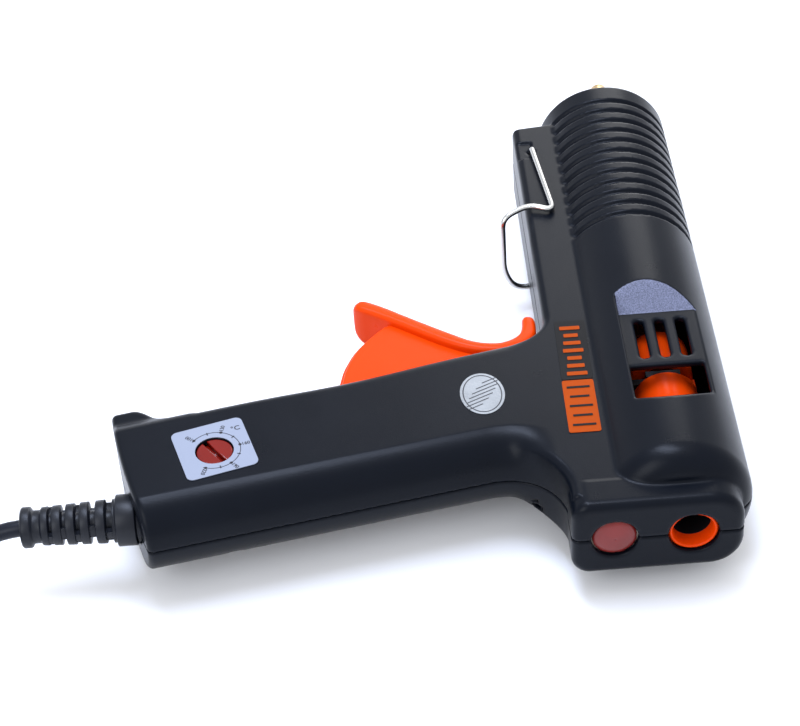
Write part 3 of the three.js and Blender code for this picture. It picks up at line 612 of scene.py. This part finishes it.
# ---- dial ----
TILT = math.radians(15.3)
SLOT_ANGLE = 34
NUMBERED = (52, -14, -77, -140, -199)
HALFWAY = (17, -46, -107, -166)


def on_dial(radius, angle):
    return (KNOB_AT[0] + radius * math.cos(angle), KNOB_AT[1] + radius * math.sin(angle))


def label_line(cx, cy, half_x, half_y, corner, lean):
    """Rectangle with rounded corners, turned by lean."""
    square = [(-half_x, -half_y), (half_x, -half_y), (half_x, half_y), (-half_x, half_y)]
    line = []
    for x, y in square:
        for i in range(7):
            a = math.atan2(y, x)
            quarter = math.floor(a / (math.pi / 2)) * math.pi / 2
            b = quarter + i * math.pi / 12
            u = math.copysign(half_x - corner, x) + corner * math.cos(b)
            v = math.copysign(half_y - corner, y) + corner * math.sin(b)
            line.append(leaning(cx, cy, u, v, lean))
    return line


dial_hole = circle(*KNOB_AT, 6.3)
dial_edge = label_line(40.4, 149.7, 11.9, 11.9, 2.2, TILT)
settle(plate("dial_plate", [dial_edge, dial_hole], FLANK, 15.1, 0.04), WHITE, "gun", "dial_label")


def arc(radius, start, end, count):
    return [on_dial(radius, math.radians(a)) for a in np.linspace(start, end, count)]


def arc_band(radius_in, radius_out, start, end):
    return arc(radius_out, start, end, 60) + arc(radius_in, end, start, 60)


knob = [(6.5, 0.05), (4, 2.5), (4, 3.9), (9.4, 3.9), (9.4, 5.9), (12.6, 5.9), (12.6, 0.05)]
settle(turned("knob_core", knob, (*KNOB_AT, 0), "Z"), KNOB, "knob", "temperature_knob")
for letter, start in (("a", SLOT_ANGLE), ("b", SLOT_ANGLE + 180)):
    half_line = arc(5.9, start + 8, start + 172, 30)
    settle(plate(f"knob_half_{letter}", [half_line], 12.5, 14.5, 0.35), KNOB, "knob")


def mark(name, outline, mat=INK):
    """Thin printed shape on a label."""
    return settle(plate(name, [outline], 15.09, 15.14, 0.002), mat, "gun")


mark("dial_scale", arc_band(8.35, 8.6, -205, 58))
for i, a in enumerate(NUMBERED):
    mark(f"dial_dot_{i}", circle(*on_dial(8.5, math.radians(a)), 0.55, count=20))
for i, a in enumerate(HALFWAY):
    mark(f"dial_tick_{i}", arc_band(7.7, 8.9, a - 1.4, a + 1.4))


def digits(name, text, x, y, size, angle):
    letters = bpy.data.curves.new(name, "FONT")
    letters.body = text
    letters.size = size / 1000
    letters.align_x = "CENTER"
    letters.align_y = "CENTER"
    letters.extrude = 0.00002
    letters.offset = 0.00004
    obj = link(name, letters)
    obj.location = row(x, y, 15.12)
    obj.rotation_euler = (0, 0, angle)
    return settle(obj, INK, "gun")


for i, a in enumerate(NUMBERED):
    digits(f"dial_number_{i}", str(100 + 30 * i), *on_dial(10.4, math.radians(a)), 1.9, math.radians(a))
digits("dial_unit", "°C", 49.3, 142.9, 2.8, TILT - math.pi / 2)

# ---- stickers on the flank ----
OVAL_AT = (57.1, 61.6)
OVAL_LEAN = math.radians(3)


def oval(half_x, half_y):
    return circle(*OVAL_AT, half_x, half_y, 64, OVAL_LEAN)


settle(plate("inspection_oval", [oval(10.1, 7.35)], FLANK, 15.0, 0.03), SILVER, "gun", "inspection_sticker")
for i in range(-3, 4):
    chord = math.sqrt(max(0.1, 1 - (i / 3.6) ** 2))
    foil = label_line(OVAL_AT[0] + 2.1 * i, OVAL_AT[1] - 0.9 * i, 0.22, 5.0 * chord, 0.1, 0.45)
    settle(plate(f"oval_line_{i + 3}", [foil], 14.985, 15.02, 0.002), INK, "gun")
settle(plate("oval_rim", [oval(9.2, 6.5), oval(8.8, 6.1)], 14.99, 15.03, 0.002), INK, "gun")
black_edge = label_line(75.7, 29.6, 15.1, 5.2, 0.8, -0.02)
settle(plate("black_strip", [black_edge], FLANK, 15.0, 0.03), BLACK, "gun", "rating_label")
orange_edge = label_line(47.5, 30.1, 12.7, 5.2, 0.8, -0.01)
settle(plate("orange_strip", [orange_edge], FLANK, 15.0, 0.03), STRIP, "gun", "info_label")
for i in range(7):
    printed = label_line(63.4 + 3.9 * i, 29.6, 0.9, 3.4 - 0.5 * (i % 3), 0.3, -0.02)
    mark(f"strip_bar_{i}", printed, STRIP)
for i in range(5):
    printed = label_line(38.2 + 4.6 * i, 30.1, 0.5, 3.8 - 0.6 * (i % 2), 0.2, -0.01)
    mark(f"strip_line_{i}", printed, BLACK)

# ---- pieces kept as built ----
KEPT = {
    # gripper and spring: steel darkened as painted shade inside the barrel
    DARK_STEEL: ("stick_gripper", "return_spring"),
    STEEL: ("case_screw", "trigger_pin", "sleeve_clamp", "nozzle_ball", "nozzle_spring"),
    SILICONE: ("inlet_sleeve", "heater_lead_live"),
    ALUMINIUM: ("melt_chamber", "potentiometer", "heat_sink"),
    CERAMIC: ("heater_element", "lamp_body", "heater_lead_neutral"),
    PHENOLIC: ("rear_insulator", "nose_insulator", "cord_clamp"),
    BOARD: ("control_board",),
    ORANGE: ("film_capacitor",),
    BLACK: ("coil_tie",),
}
for mat, names in KEPT.items():
    for name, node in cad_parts.items():
        if name.startswith(names):
            node.data.materials.clear()
            node.data.materials.append(mat)

# ---- floor and light ----
sheet = bpy.data.meshes.new("floor")
FLOOR_REACH = 6.0
corners = [(FLOOR_REACH * x, FLOOR_REACH * y, -0.0002) for x, y in ((-1, -1), (1, -1), (1, 1), (-1, 1))]
sheet.from_pydata(corners, [], [(0, 1, 2, 3)])
sheet.materials.append(PALE)
link("floor", sheet)

world = bpy.data.worlds.new("studio")
world.use_nodes = True
sky = world.node_tree.nodes["Background"]
sky.inputs["Color"].default_value = (0.93, 0.95, 1.0, 1)
sky.inputs["Strength"].default_value = 0.95
bpy.context.scene.world = world


def lamp(name, place, aim, size, power, colour=(1, 1, 1)):
    """Soft rectangular lamp facing aim."""
    light = bpy.data.lights.new(name, "AREA")
    light.shape = "RECTANGLE"
    light.size, light.size_y = size
    light.energy = power
    light.color = colour
    obj = link(name, light)
    obj.location = place
    obj.rotation_euler = (Vector(aim) - Vector(place)).to_track_quat("-Z", "Y").to_euler()


lamp("overhead", (0.1, 0.0, 1.3), (0, 0, 0), (1.4, 1.4), 3.5)
lamp("sheen", (0.16, 0.1, 1.1), (0, 0, 0), (0.3, 0.7), 11, (0.66, 0.76, 1.0))
lamp("front_left", (-0.9, 0.7, 0.8), (0, 0, 0.02), (0.6, 0.9), 6, (0.92, 0.95, 1.0))
lamp("nose_side", (1.1, -0.3, 0.5), (0.05, 0, 0.02), (0.5, 0.9), 5)
